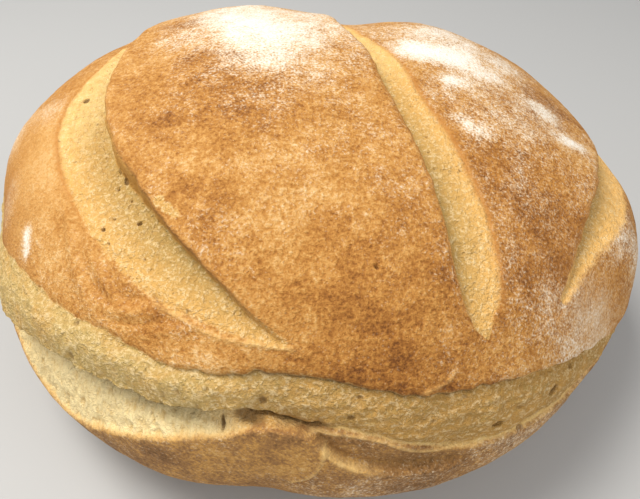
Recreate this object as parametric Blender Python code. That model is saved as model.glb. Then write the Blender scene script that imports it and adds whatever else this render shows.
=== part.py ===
"""A boule: one large round loaf with three slashes in its crust and a burst round its side.

The loaf starts as a fine sphere. Its points are moved to the dome of the dough, then to the relief of
the slashes and of the burst, and the skin is thinned out again and cut flat where the loaf rests.
Lengths are in metres, +Z is up, and the front of the loaf, where the burst is widest, faces -Y.
"""
import math

import bmesh
import bpy
import numpy as np

MM = 0.001

# Dome of the dough
LOAF_RADIUS = 132.5 * MM
OVAL = 0.013
OVAL_TURN = 0.30
RISE = 84 * MM
UNDERSIDE = 53 * MM
BELLY_HEIGHT = 50 * MM
DOME_ROUNDNESS = 1.95
UNDERSIDE_ROUNDNESS = 2.7
TOP_LEAN = (-27.5 * MM, -7 * MM)

# Skin map: places on the crust, in millimetres from the top of the loaf along its skin
SKIN_RADIUS = 130.0

# Swellings and hollows of the dough: place on the skin map, reach and height in millimetres
SWELLINGS = [
    (115, 60, 50, 3.8),
    (-120, 50, 45, -1.0),
    (-150, -20, 35, 2.0),
    (165, -60, 30, 3.5),
    (70, 150, 65, -10.5),
    (180, -28, 28, 3.0),
    (-30, -215, 30, -3.0),
    (20, -225, 60, -2.0),
    (150, -130, 35, -1.3),
    (88, 78, 24, 2.6),
    (-172, -52, 22, -2.6),
    (-200, -88, 27, 2.6),
    (-178, -125, 27, 1.0),
    (-150, -155, 27, 0.7),
]

# Slashes, each along its cliff edge from the far end to the near end:
# place on the skin map, width, depth and width of the cliff, all in millimetres
LEFT_SLASH = [
    (-60, 120, 6, 0.3, 3),
    (-70, 86, 14, 1.2, 3),
    (-73, 45, 20, 2, 3),
    (-74, 12, 23, 2.8, 3),
    (-73, -20, 33, 4.2, 4),
    (-71, -43, 36, 5.2, 6),
    (-61, -72, 34, 5.8, 7),
    (-49, -93, 33, 5.8, 5),
    (-38, -111, 29, 5.4, 3),
    (-25, -127, 22, 4.4, 2.5),
    (-12, -142, 11, 2.6, 2.5),
    (-1, -152, 3, 0.4, 2.5),
]
MIDDLE_SLASH = [
    (5, 137, 5, 0.6, 3),
    (18, 115, 9, 2.4, 3),
    (32, 88, 12, 3.2, 3),
    (45, 56, 12, 3, 3),
    (53, 34, 13.5, 3, 3),
    (63, 8, 17, 3.6, 3.5),
    (68, -22, 19, 4.2, 4),
    (72, -50, 21.5, 4.6, 4),
    (74, -80, 22, 4.6, 4),
    (73.5, -105, 20, 4, 3.5),
    (71.5, -125, 17, 3, 3),
    (72, -135, 13, 1.8, 3),
    (74, -141, 8, 0.6, 2.5),
]
RIGHT_SLASH = [
    (145, 88, 3, 0.4, 2.5),
    (158, 55, 9, 2.2, 3),
    (163, 22, 12, 3.4, 3),
    (162, -6, 15, 4.2, 3),
    (153, -37, 18, 4.6, 3),
    (142, -66, 15, 4.2, 3),
    (132, -90, 9, 3, 3),
    (117, -118, 3, 0.4, 2.5),
]

# Which way each floor lies from its cliff (-1 left, 1 right), how hollow the floor is, the step at its
# far edge, how far the crust sinks beside it, how far the proud edge swells and how far it leans over
SLASHES = [
    (LEFT_SLASH, -1, 1.5, 0.5, 3.4, 1.5, 1.0),
    (MIDDLE_SLASH, 1, 1.2, 0.5, 3.6, 1.2, 0.4),
    (RIGHT_SLASH, 1, 1.1, 0.2, 1.0, 1.5, 0.4),
]
PATH_POINTS = 240
END_FADE = 5.0
EAR_REACH = 14.0
EDGE_ROUNDING = (3.0, 0.9)
SINK_REACH = 26.0
SINK_START = 4.0
FULL_DEPTH = 5.0
SWELL_SHARE = 0.28

# Burst: degrees round the loaf from its front, then the heights in millimetres of the crust's edge,
# of the torn band's foot and of the foot of the pale opening below it
BURST = [
    (-145, 80, 77, 76),
    (-110, 80, 68, 58),
    (-85, 80, 62, 48),
    (-66, 81, 59, 42),
    (-55, 87, 63, 41),
    (-46, 89.5, 72, 41),
    (-38, 89.5, 76, 46),
    (-29, 90, 77, 56),
    (-20, 88, 78, 64),
    (-12, 88.5, 79, 70),
    (-6, 89.5, 77, 75),
    (0, 89, 73.5, 73.5),
    (6, 87, 71.5, 71.5),
    (12, 82.5, 65, 65),
    (18, 79.5, 59.5, 59.5),
    (26, 77, 55.5, 55.5),
    (36, 72, 53, 53),
    (46, 64, 49, 49),
    (58, 54, 43, 43),
    (75, 50, 43, 43),
    (95, 49, 45, 45),
]
BURST_START = -145.0
BURST_START_FADE = 40.0
BURST_END = 95.0
BURST_END_FADE = 35.0
OPENING_START = -84.0
OPENING_START_FADE = 42.0
OPENING_END = -4.0
OPENING_FADE = 10.0
CRUST_LIP = 1.2
CRUST_LIP_REACH = 6.0
CRUST_OVERHANG = 0.5
SOFT_EDGE = 0.3
SHARP_EDGE_START = -38.0
SHARP_EDGE_FADE = 20.0
EDGE_WIDTH = 2.4
BAND_SET_BACK = 0.8
BAND_ROLL_LEFT = 4.0
BAND_ROLL_RIGHT = 1.2
ROLL_SKEW = 0.75
OPENING_DEPTH = 8.0
FULL_OPENING = 12.0
GROOVE_SHARE = 0.24
OPENING_SAG = 4.5
OPENING_HOLLOW = 1.3
SAG_PLACE = 0.32
SAG_SPREAD = 0.17
FOOT_LIP = 1.0
FOOT_LIP_REACH = 10.0

# Lip of lower crust in front, along its free edge: degrees from the front and height in millimetres
FRONT_LIP = [
    (-6, 76.5),
    (-3, 75),
    (-1, 73.5),
    (0.4, 71),
    (1.2, 67.5),
    (2.2, 64),
    (4, 60),
    (7, 56.5),
    (12, 54),
    (18, 52),
]
DEGREE_LENGTH = 2.25
FRONT_LIP_PROUD = 2.0
FRONT_LIP_HOLLOW = 2.2
FRONT_LIP_REACH = (16.0, 7.0)
FRONT_LIP_START = -45.0
FRONT_LIP_FADE = 20.0

# Unevenness of the crust and of the torn crumb: size of a bump and its height, in millimetres
LUMPS = (30.0, 0.9)
DIMPLES = (9.0, 0.25)
CRUMB_KNOBS = (6.0, 0.6)

# Fineness of the skin
SPHERE_SUBDIVISIONS = 8
KEPT_FACES = 10800
REST_CUT = 0.6 * MM
REST_BLEND = 2.4 * MM

CRUST_COLOUR = (0.47, 0.21, 0.06, 1.0)
CRUST_ROUGHNESS = 0.8


def eased(x):
    x = np.clip(x, 0.0, 1.0)
    return x * x * (3.0 - 2.0 * x)


def bell(x):
    return np.exp(-x * x)


def through(places, rows):
    """Values at the places, on smooth curves through rows of (place, value, value, ...)."""
    rows = np.array(rows, float)
    knots, values = rows[:, 0], rows[:, 1:]
    slopes = np.gradient(values, knots, axis=0)
    places = np.clip(places, knots[0], knots[-1])
    left = np.clip(np.searchsorted(knots, places) - 1, 0, len(knots) - 2)
    span = (knots[left + 1] - knots[left])[:, None]
    t = (places - knots[left])[:, None] / span
    rise = t * t * (3 - 2 * t)
    start = t * (1 - t) ** 2 * span * slopes[left]
    end = t * t * (t - 1) * span * slopes[left + 1]
    return (1 - rise) * values[left] + rise * values[left + 1] + start + end


def uneven(points, size, seed):
    """Smooth random relief from -1 to 1, with bumps about one size across."""
    cells = points / size
    corner = np.floor(cells).astype(np.int64)
    ease = eased(cells - corner)
    total = np.zeros(len(points))
    for step in np.ndindex(2, 2, 2):
        x, y, z = (corner + step).T
        mixed = (x * 73856093) ^ (y * 19349663) ^ (z * 83492791) ^ (seed * 2654435761)
        mixed = ((mixed ^ (mixed >> 13)) * 1274126177) & 0xFFFFFF
        share = np.prod(np.where(step, ease, 1 - ease), axis=1)
        total += share * (mixed / float(0x7FFFFF) - 1.0)
    return total


def dome(directions):
    """Plain dome of the dough, in metres, and the way its skin faces."""
    flat = np.hypot(directions[:, 0], directions[:, 1])
    steep = np.abs(directions[:, 2])
    turn = np.arctan2(directions[:, 1], directions[:, 0])
    upper = directions[:, 2] > 0
    reach = LOAF_RADIUS * (1 + OVAL * np.cos(2 * (turn - OVAL_TURN)))
    tall = np.where(upper, RISE, UNDERSIDE)
    power = np.where(upper, DOME_ROUNDNESS, UNDERSIDE_ROUNDNESS)
    size = ((flat / reach) ** power + (steep / tall) ** power) ** (-1 / power)
    points = directions * size[:, None]
    outward = flat ** (power - 1) / reach ** power
    upward = steep ** (power - 1) / tall ** power * np.sign(directions[:, 2])
    facing = np.column_stack([outward * np.cos(turn), outward * np.sin(turn), upward])
    facing /= np.linalg.norm(facing, axis=1)[:, None]
    lean = np.clip(points[:, 2] / RISE, 0, 1) ** 2
    points[:, 0] += TOP_LEAN[0] * lean
    points[:, 1] += TOP_LEAN[1] * lean
    points[:, 2] += BELLY_HEIGHT
    return points, facing


def skin_map(directions):
    """Flat map of the skin: millimetres from the top, along the skin, each way from the top."""
    polar = np.arccos(np.clip(directions[:, 2], -1, 1))
    flat = np.maximum(np.hypot(directions[:, 0], directions[:, 1]), 1e-9)
    return directions[:, :2] * (polar * SKIN_RADIUS / flat)[:, None]


def fine_path(rows):
    """Evenly spaced points along a smooth curve through the rows, and the share of the way at each."""
    rows = np.array(rows, float)
    steps = np.hypot(*np.diff(rows[:, :2], axis=0).T)
    along = np.concatenate([[0.0], np.cumsum(steps)])
    along /= along[-1]
    places = np.linspace(0.0, 1.0, PATH_POINTS)
    return np.column_stack([through(places, np.column_stack([along, rows])), places])


def beside(places, path):
    """For each place: the nearest row of the path, how far it lies beside it and past its ends."""
    route = path[:, :2]
    nearest = np.empty(len(places), int)
    block = 20000
    for first in range(0, len(places), block):
        away = places[first:first + block, None, :] - route[None]
        nearest[first:first + block] = (away ** 2).sum(axis=2).argmin(axis=1)
    ahead = np.gradient(route, axis=0)
    ahead /= np.linalg.norm(ahead, axis=1)[:, None]
    ahead = ahead[nearest]
    away = places - route[nearest]
    offset = ahead[:, 0] * away[:, 1] - ahead[:, 1] * away[:, 0]
    run = (ahead * away).sum(axis=1)
    past = np.where(nearest == 0, -run, np.where(nearest == len(path) - 1, run, 0.0))
    return path[nearest], offset, np.maximum(past, 0.0), ahead


def slash_relief(places, slash):
    """Height of one slash's relief and the sideways lean of its proud edge, in millimetres."""
    rows, side, hollow, step, sink, ear, lean = slash
    row, offset, past, ahead = beside(places, fine_path(rows))
    width, depth, cliff, share = row[:, 2:].T
    across = offset * side
    full = np.minimum(depth / FULL_DEPTH, 1.0)
    swell = eased(share / SWELL_SHARE) * eased((1.0 - share) / SWELL_SHARE)
    step = step * full
    down = eased(across / cliff)
    rest = np.clip((width - across) / np.maximum(width - cliff, 1.0), 0.0, 1.0)
    floor = -down * np.maximum(depth * rest ** hollow, step)
    far_edge = -step * (1.0 - eased(across - width))
    cut = np.where(across < width, floor, far_edge)
    sunk = bell(np.maximum(across - width / 2, 0.0) / SINK_REACH) * eased(across / (cliff + SINK_START))
    before = np.minimum(across, 0.0)
    rounding = EDGE_ROUNDING[1] * np.maximum(1.0 + before / EDGE_ROUNDING[0], 0.0) ** 2
    proud = (ear * np.exp(before / EAR_REACH) - rounding) * (1.0 - down)
    fade = bell(past / END_FADE)
    height = (cut + full * proud) * fade - sink * sunk * swell
    shift = side * lean * full * bell(across / cliff) * fade
    sideways = np.column_stack([-ahead[:, 1], ahead[:, 0]]) * shift[:, None]
    return height, sideways, (across > 0) & (across < width) & (past < 1.0)


def burst_relief(turn, height):
    """Relief of the burst round the side, and how far its edges sag, in millimetres."""
    crust_edge, band_foot, opening_foot = through(turn, BURST).T
    start = eased((turn - BURST_START) / BURST_START_FADE)
    ends = start * eased((BURST_END - turn) / BURST_END_FADE)
    opening = np.maximum(band_foot - opening_foot, 0.0)
    open_share = eased((OPENING_END - turn) / OPENING_FADE) * np.minimum(opening / FULL_OPENING, 1.0)
    open_share = open_share * eased((turn - OPENING_START) / OPENING_START_FADE)
    up_band = (height - band_foot) / (crust_edge - band_foot)
    up_opening = np.clip((height - opening_foot) / np.maximum(opening, 1.0), 0.0, 1.0)
    deep = OPENING_DEPTH * open_share

    sharp = SOFT_EDGE + (1.0 - SOFT_EDGE) * eased((turn - SHARP_EDGE_START) / SHARP_EDGE_FADE)
    crust = sharp * CRUST_LIP * np.exp(-np.maximum(height - crust_edge, 0.0) / CRUST_LIP_REACH)
    roll = BAND_ROLL_RIGHT + (BAND_ROLL_LEFT - BAND_ROLL_RIGHT) * open_share
    band = roll * np.sin(math.pi * np.clip(up_band, 0.0, 1.0) ** ROLL_SKEW) - BAND_SET_BACK * sharp
    band -= deep * (1.0 - eased(up_band / GROOVE_SHARE))
    pale = -deep * up_opening ** OPENING_HOLLOW - FOOT_LIP
    lower = FOOT_LIP * np.exp(-np.maximum(opening_foot - height, 0.0) / FOOT_LIP_REACH)

    torn = np.where(height > band_foot, band, pale)
    over = eased((height - crust_edge) / EDGE_WIDTH + 0.5)
    under = eased((opening_foot - height) / EDGE_WIDTH + 0.5)
    relief = torn * (1.0 - over) * (1.0 - under) + crust * over + lower * under
    sag = OPENING_SAG * open_share * bell((up_band - SAG_PLACE) / SAG_SPREAD)
    sag += sharp * CRUST_OVERHANG * bell((height - crust_edge) / EDGE_WIDTH)
    inside = (height < crust_edge) & (height > opening_foot) & (ends > 0.5)
    return relief * ends, sag * ends, inside


def front_lip_relief(turn, height):
    """Step where the front lip of the lower crust ends: proud on its left, hollow on its right."""
    places = np.column_stack([turn * DEGREE_LENGTH, height])
    rows = [(degrees * DEGREE_LENGTH, tall) for degrees, tall in FRONT_LIP]
    _, offset, past, _ = beside(places, fine_path(rows))
    fade = bell(past / END_FADE) * eased((turn - FRONT_LIP_START) / FRONT_LIP_FADE)
    proud = FRONT_LIP_PROUD * np.exp(np.minimum(offset, 0.0) / FRONT_LIP_REACH[0])
    hollow = -FRONT_LIP_HOLLOW * np.exp(-np.maximum(offset, 0.0) / FRONT_LIP_REACH[1])
    side = eased(offset / EDGE_WIDTH + 0.5)
    return (proud * (1.0 - side) + hollow * side) * fade


def shaped(directions):
    """Points of the loaf's skin, in metres, for directions from its middle."""
    points, facing = dome(directions)
    places = skin_map(directions)
    turn = np.degrees(np.arctan2(directions[:, 0], -directions[:, 1]))
    height = points[:, 2] / MM
    lift = np.zeros(len(points))
    for x, y, reach, rise in SWELLINGS:
        lift += rise * bell(np.hypot(places[:, 0] - x, places[:, 1] - y) / reach)
    shift = np.zeros_like(points)
    torn = np.zeros(len(points), bool)
    for slash in SLASHES:
        relief, sideways, inside = slash_relief(places, slash)
        lift += relief
        shift[:, :2] += sideways
        torn |= inside
    relief, sag, inside = burst_relief(turn, height)
    lift += relief + front_lip_relief(turn, height)
    shift[:, 2] -= sag
    torn |= inside
    spots = points / MM
    lift += LUMPS[1] * uneven(spots, LUMPS[0], 1)
    lift += DIMPLES[1] * uneven(spots, DIMPLES[0], 2)
    lift += np.where(torn, CRUMB_KNOBS[1], 0.0) * uneven(spots, CRUMB_KNOBS[0], 3)
    points += (facing * lift[:, None] + shift) * MM
    points[:, 2] = (points[:, 2] + np.sqrt(points[:, 2] ** 2 + REST_BLEND ** 2)) / 2
    return points


def loaf_skin(subdivisions):
    """Closed skin of the loaf as a bmesh."""
    skin = bmesh.new()
    bmesh.ops.create_icosphere(skin, subdivisions=subdivisions, radius=1.0)
    directions = np.array([vertex.co[:] for vertex in skin.verts])
    directions /= np.linalg.norm(directions, axis=1)[:, None]
    for vertex, point in zip(skin.verts, shaped(directions)):
        vertex.co = point
    return skin


def thinned(skin, kept_faces):
    """The same skin with fewer triangles, most of them where the relief needs them."""
    mesh = bpy.data.meshes.new("skin")
    skin.to_mesh(mesh)
    share = kept_faces / len(skin.faces)
    skin.free()
    draft = bpy.data.objects.new("draft", mesh)
    bpy.context.scene.collection.objects.link(draft)
    thin = draft.modifiers.new("thin", "DECIMATE")
    thin.ratio = share
    depsgraph = bpy.context.evaluated_depsgraph_get()
    light = bmesh.new()
    light.from_mesh(draft.evaluated_get(depsgraph).to_mesh())
    bpy.data.objects.remove(draft)
    bpy.data.meshes.remove(mesh)
    return light


def cut_flat(skin):
    """Cut the underside off flat where the loaf rests and close the cut with one level face."""
    geometry = skin.verts[:] + skin.edges[:] + skin.faces[:]
    cut = bmesh.ops.bisect_plane(
        skin,
        geom=geometry,
        plane_co=(0, 0, REST_CUT),
        plane_no=(0, 0, -1),
        clear_outer=True,
    )
    rim = [item for item in cut["geom_cut"] if isinstance(item, bmesh.types.BMEdge)]
    bmesh.ops.contextual_create(skin, geom=rim)
    bmesh.ops.recalc_face_normals(skin, faces=skin.faces)


def stand_on_origin(mesh):
    """Put the middle of the loaf's box over the origin and its underside on it."""
    points = np.array([vertex.co[:] for vertex in mesh.vertices])
    low, high = points.min(axis=0), points.max(axis=0)
    points -= ((low[0] + high[0]) / 2, (low[1] + high[1]) / 2, low[2])
    mesh.vertices.foreach_set("co", points.ravel())
    mesh.update()


def crust_material():
    material = bpy.data.materials.new("crust")
    material.use_nodes = True
    shader = material.node_tree.nodes["Principled BSDF"]
    shader.inputs["Base Color"].default_value = CRUST_COLOUR
    shader.inputs["Roughness"].default_value = CRUST_ROUGHNESS
    shader.inputs["Metallic"].default_value = 0.0
    return material


def make_boule():
    skin = thinned(loaf_skin(SPHERE_SUBDIVISIONS), KEPT_FACES)
    cut_flat(skin)
    mesh = bpy.data.meshes.new("boule")
    skin.to_mesh(mesh)
    skin.free()
    stand_on_origin(mesh)
    mesh.shade_smooth()
    mesh.materials.append(crust_material())
    boule = bpy.data.objects.new("boule", mesh)
    bpy.context.scene.collection.objects.link(boule)


def main():
    for item in list(bpy.data.objects):
        bpy.data.objects.remove(item)
    make_boule()


main()
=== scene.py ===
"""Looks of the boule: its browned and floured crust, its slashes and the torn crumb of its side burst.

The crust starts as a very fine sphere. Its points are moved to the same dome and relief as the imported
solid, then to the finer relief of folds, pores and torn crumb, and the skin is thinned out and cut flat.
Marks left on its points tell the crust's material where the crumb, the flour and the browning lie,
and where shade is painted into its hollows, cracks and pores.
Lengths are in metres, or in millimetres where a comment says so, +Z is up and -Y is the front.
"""
import math

import bmesh
import bpy
import numpy as np
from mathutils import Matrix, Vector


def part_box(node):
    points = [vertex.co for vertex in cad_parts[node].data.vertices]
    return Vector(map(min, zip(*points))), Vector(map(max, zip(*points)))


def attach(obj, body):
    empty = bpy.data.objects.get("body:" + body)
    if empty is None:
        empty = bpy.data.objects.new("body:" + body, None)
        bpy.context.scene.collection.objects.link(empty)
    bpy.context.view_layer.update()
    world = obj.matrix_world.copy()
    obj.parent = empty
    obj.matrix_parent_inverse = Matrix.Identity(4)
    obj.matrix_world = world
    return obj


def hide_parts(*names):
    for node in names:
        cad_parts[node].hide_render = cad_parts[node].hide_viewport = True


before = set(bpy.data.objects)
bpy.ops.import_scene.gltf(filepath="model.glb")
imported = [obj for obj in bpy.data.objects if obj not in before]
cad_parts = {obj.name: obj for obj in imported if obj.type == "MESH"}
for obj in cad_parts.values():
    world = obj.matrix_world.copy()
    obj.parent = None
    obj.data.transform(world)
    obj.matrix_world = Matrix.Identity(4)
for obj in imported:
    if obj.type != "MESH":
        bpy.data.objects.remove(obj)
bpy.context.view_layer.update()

MM = 0.001

# Camera of the photograph: its focal length in pixels, its place, and how far it looks down
PHOTO_SIZE = (640, 499)
FOCAL_PIXELS = 600.0
SENSOR_WIDTH = 36.0
CAMERA_PLACE = (0.34 * MM, -213.23 * MM, 230.72 * MM)
LOOK_DOWN = math.radians(44.0)

# Dome of the dough
LOAF_RADIUS = 132.5 * MM
OVAL = 0.013
OVAL_TURN = 0.30
RISE = 84 * MM
UNDERSIDE = 53 * MM
BELLY_HEIGHT = 50 * MM
DOME_ROUNDNESS = 1.95
UNDERSIDE_ROUNDNESS = 2.7
TOP_LEAN = (-27.5 * MM, -7 * MM)

# Skin map: places on the crust, in millimetres from the top of the loaf along its skin
SKIN_RADIUS = 130.0

# Swellings and hollows of the dough: place on the skin map, reach and height in millimetres
SWELLINGS = [
    (115, 60, 50, 3.8),
    (-120, 50, 45, -1.0),
    (-150, -20, 35, 2.0),
    (165, -60, 30, 3.5),
    (70, 150, 65, -10.5),
    (180, -28, 28, 3.0),
    (-30, -215, 30, -3.0),
    (20, -225, 60, -2.0),
    (150, -130, 35, -1.3),
    (88, 78, 24, 2.6),
    (-172, -52, 22, -2.6),
    (-200, -88, 27, 2.6),
    (-178, -125, 27, 1.0),
    (-150, -155, 27, 0.7),
]

# Slashes, each along its cliff edge from the far end to the near end:
# place on the skin map, width, depth and width of the cliff, all in millimetres
LEFT_SLASH = [
    (-60, 120, 6, 0.3, 3),
    (-70, 86, 14, 1.2, 3),
    (-73, 45, 20, 2.0, 3),
    (-74, 12, 23, 2.8, 3),
    (-73, -20, 33, 4.2, 4),
    (-71, -43, 36, 5.2, 6),
    (-61, -72, 34, 5.8, 7),
    (-49, -93, 33, 5.8, 5),
    (-38, -111, 29, 5.4, 3),
    (-25, -127, 22, 4.4, 2.5),
    (-12, -142, 11, 2.6, 2.5),
    (-1, -152, 3, 0.4, 2.5),
]
MIDDLE_SLASH = [
    (5, 137, 5, 0.6, 3),
    (18, 115, 9, 2.4, 3),
    (32, 88, 12, 3.2, 3),
    (45, 56, 12, 3, 3),
    (53, 34, 13.5, 3, 3),
    (63, 8, 17, 3.6, 3.5),
    (68, -22, 19, 4.2, 4),
    (72, -50, 21.5, 4.6, 4),
    (74, -80, 22, 4.6, 4),
    (73.5, -105, 20, 4, 3.5),
    (71.5, -125, 17, 3, 3),
    (72, -135, 13, 1.8, 3),
    (74, -141, 8, 0.6, 2.5),
]
RIGHT_SLASH = [
    (145, 88, 3, 0.4, 2.5),
    (158, 55, 9, 2.2, 3),
    (163, 22, 12, 3.4, 3),
    (162, -6, 15, 4.2, 3),
    (153, -37, 18, 4.6, 3),
    (142, -66, 15, 4.2, 3),
    (132, -90, 9, 3, 3),
    (117, -118, 3, 0.4, 2.5),
]

# Each slash: its rows, which way the floor lies from the cliff (-1 left, 1 right), how hollow the floor
# is, the step at its far edge, how far the crust sinks beside it, how far the proud edge swells and how
# far it leans over, from what share of the way on the far edge is blurred, and how toasted its crumb is
SLASHES = [
    (LEFT_SLASH, -1, 1.5, 0.5, 3.4, 1.5, 1.0, 0.58, 0.0),
    (MIDDLE_SLASH, 1, 1.2, 0.5, 3.6, 1.2, 0.4, 2.0, 0.2),
    (RIGHT_SLASH, 1, 1.1, 0.2, 1.0, 1.5, 0.4, 0.2, 0.95),
]
BLURRED_EDGE = 0.3
BLUR_FADE = 0.2
LOW_END_START = 0.45
LOW_END_FADE = 0.4
PATH_POINTS = 240
FAR_AWAY = 999.0
END_FADE = 5.0
EAR_REACH = 14.0
EDGE_ROUNDING = (3.0, 0.9)
SINK_REACH = 26.0
SINK_START = 4.0
FULL_DEPTH = 5.0
SWELL_SHARE = 0.28

# Burst: degrees round the loaf from its front, then the heights in millimetres of the crust's edge,
# of the torn band's foot and of the foot of the pale opening below it
BURST = [
    (-145, 80, 77, 76),
    (-110, 80, 68, 58),
    (-85, 80, 62, 48),
    (-66, 81, 59, 42),
    (-55, 87, 63, 41),
    (-46, 89.5, 72, 41),
    (-38, 89.5, 76, 46),
    (-29, 90, 77, 56),
    (-20, 88, 78, 64),
    (-12, 88.5, 79, 70),
    (-6, 89.5, 77, 75),
    (0, 89, 73.5, 73.5),
    (6, 87, 71.5, 71.5),
    (12, 82.5, 65, 65),
    (18, 79.5, 59.5, 59.5),
    (26, 77, 55.5, 55.5),
    (36, 72, 53, 53),
    (46, 64, 49, 49),
    (58, 54, 43, 43),
    (75, 50, 43, 43),
    (95, 49, 45, 45),
]
BURST_START = -145.0
BURST_START_FADE = 40.0
BURST_END = 95.0
BURST_END_FADE = 35.0
OPENING_START = -84.0
OPENING_START_FADE = 42.0
OPENING_END = -4.0
OPENING_FADE = 10.0
CRUST_LIP = 1.2
CRUST_LIP_REACH = 6.0
CRUST_OVERHANG = 0.5
SOFT_EDGE = 0.3
SHARP_EDGE_START = -38.0
SHARP_EDGE_FADE = 20.0
EDGE_WIDTH = 2.4
BAND_SET_BACK = 0.8
BAND_ROLL_LEFT = 4.0
BAND_ROLL_RIGHT = 1.2
ROLL_SKEW = 0.75
OPENING_DEPTH = 8.0
FULL_OPENING = 12.0
GROOVE_SHARE = 0.24
OPENING_SAG = 4.5
OPENING_HOLLOW = 1.3
SAG_PLACE = 0.32
SAG_SPREAD = 0.17
BACK_FOOT = 40.0
FOOT_LIP = 1.0
FOOT_LIP_REACH = 10.0

# Lip of lower crust in front, along its free edge: degrees from the front and height in millimetres
FRONT_LIP = [
    (-6, 76.5),
    (-3, 75),
    (-1, 73.5),
    (0.4, 71),
    (1.2, 67.5),
    (2.2, 64),
    (4, 60),
    (7, 56.5),
    (12, 54),
    (18, 52),
]
DEGREE_LENGTH = 2.25
FRONT_LIP_PROUD = 2.0
FRONT_LIP_HOLLOW = 2.2
FRONT_LIP_REACH = (16.0, 7.0)
FRONT_LIP_START = -45.0
FRONT_LIP_FADE = 20.0

# Unevenness of the crust: size of a bump and its height, in millimetres
LUMPS = (30.0, 0.9)
DIMPLES = (9.0, 0.25)

# Finer relief that the solid leaves out, in millimetres: how ragged the torn edges are, then the size
# and height of blisters on the crust, knobs and pores of the crumb, streaks of the band, pale fibres
RAGGED_EDGE = (3.5, 0.7)
BLISTERS = (3.2, 0.12)
CRUMB_KNOBS = (6.0, 0.6)
CRUMB_GRAIN = (1.8, 0.35)
PORES = (3.0, 1.3)
PORE_STRETCH = 1.7
PORE_SHARE = (0.2, 0.75)
STREAKS = (1.3, 0.35)
STREAK_STRETCH = 2.5
FIBRES = (1.2, 0.55)
FIBRE_STRETCH = 2.5
TUFTS = (3.0, 0.6)

# Cracks under the burst's edges: depth and width in millimetres, then the degrees from the front where
# they start and end and over which they fade
EDGE_CRACK = (0.7, 0.32)
EDGE_CRACK_START = -28.0
EDGE_CRACK_FADE = 26.0
FOOT_CRACK = (4.5, 1.0)
FOOT_CRACK_START = -54.0
FOOT_CRACK_START_FADE = 26.0
FOOT_CRACK_END = 4.0
FOOT_CRACK_END_FADE = 5.0
# How far the band hangs over its crack and over what height, in millimetres
FOOT_OVERHANG = (1.6, 2.2)
# Shade in the pale opening under the band: its height in millimetres, and how much of it is full
SHADE_REACH = 9.0
FULL_SHADE = 1.4
# Where shade is painted olive under the band's roll, in degrees from the front
SHADE_UNDER_ROLL_START = -62.0
SHADE_UNDER_ROLL_FADE = 24.0

# Folds in the crust: height and half width in millimetres, how pale, then the fold's way on the skin map
FOLDS = [
    (0.9, 2.6, 0.0, [(-94, -92), (-92, -105), (-90, -119), (-81, -131), (-68, -137), (-54, -139)]),
    (0.8, 2.2, 0.0, [(-80, -116), (-77, -123), (-73, -131), (-65, -136), (-58, -136)]),
    (0.5, 2.0, 0.0, [(-88, -128), (-79, -138), (-66, -143), (-50, -145), (-38, -146)]),
    (0.6, 0.8, 0.5, [(-50, -138), (-44, -141), (-29, -149), (-15, -152), (-1, -154)]),
    (0.4, 0.45, 0.35, [(50, -164), (55, -162), (59, -160), (62, -157)]),
]
# The same for folds round the burst, on ways of degrees from the front and height in millimetres
BURST_FOLDS = [
    (0.6, 0.7, 0.6, [(1.2, 66), (0.6, 61.5), (-0.3, 56.5), (-1.6, 51.5), (-3.6, 47.5)]),
    (
        0.4, 0.6, 0.6,
        [(0.5, 72.5), (3, 71.4), (6.2, 70.2), (9.6, 67.2), (11.6, 64), (14, 60.8), (18, 59)],
    ),
    (0.3, 0.6, 0.4, [(18, 59), (26, 55), (36, 52.5), (46, 48.5), (60, 43)]),
    (
        0.4, 0.7, 0.0,
        [(3.2, 67.5), (4.0, 69), (5.6, 68.6), (6.0, 66), (4.6, 64.4), (3.4, 65.6), (3.2, 67.5)],
    ),
]

# How far from a fold's way its relief is worked out, and how softly it ends, in millimetres
FOLD_WINDOW = 12.0
FOLD_FADE = 3.0

# Fineness of the skin
SPHERE_SUBDIVISIONS = 9
KEPT_FACES = 192000

# Height where the underside is cut off flat, and how softly the skin runs out onto it
REST_CUT = 0.6 * MM
REST_BLEND = 2.4 * MM

# Tone of the crust: place on the skin map, reach in millimetres, and how much paler (above 0) or browner
TONES = [
    (-110, -60, 45, 0.17),
    (-40, 45, 9, -0.16),
    (148, 16, 16, -0.16),
    (0, -35, 36, -0.14),
    (-38, -59, 5, -0.28),
    (-32, -94, 5, -0.12),
    (-20, -95, 6, -0.14),
    (-15, -104, 8, -0.14),
    (-22, -114, 7, -0.14),
    (20, -160, 28, -0.20),
    (0, -100, 40, 0.04),
    (-165, -60, 30, -0.26),
    (48, -158, 24, -0.20),
    (60, -112, 30, -0.08),
    (125, -75, 38, -0.18),
    (108, -112, 32, -0.12),
    (-53, -138, 5, -0.22),
    (-46, -143, 4, -0.16),
    (-76, -128, 6, -0.16),
    (135, 0, 20, -0.12),
    (105, -20, 26, -0.06),
]

# Flour on the crust: place on the skin map, reach in millimetres and strength
FLOUR = [
    (10, 42, 48, 0.55),
    (20, 0, 36, 0.42),
    (-20, 62, 26, 0.30),
    (-5, 30, 16, 0.25),
    (-42, 10, 12, 0.25),
    (20, -155, 34, -0.35),
    (98, 52, 20, 0.60),
    (125, 34, 15, 0.50),
    (86, 26, 12, 0.75),
    (102, 22, 12, 0.75),
    (116, 12, 8, 0.50),
    (101, -2, 6, 0.60),
    (101, -36, 5, 0.55),
    (105, -42, 5, 0.50),
    (146, -24, 6, 0.75),
    (138, -3, 9, 0.45),
    (118, -15, 34, 0.32),
    (-147, -14, 18, 0.45),
    (-142, -62, 14, 0.30),
    (-123, -89, 4, 0.75),
    (-124, -96, 4, 0.75),
    (-115, -22, 14, 0.30),
    (165, -66, 20, 0.45),
    (146, -122, 22, 0.40),
    (118, -138, 20, 0.34),
    (0, 150, 90, 0.30),
    (110, -90, 40, 0.12),
    (30, -60, 40, 0.05),
]

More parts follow.
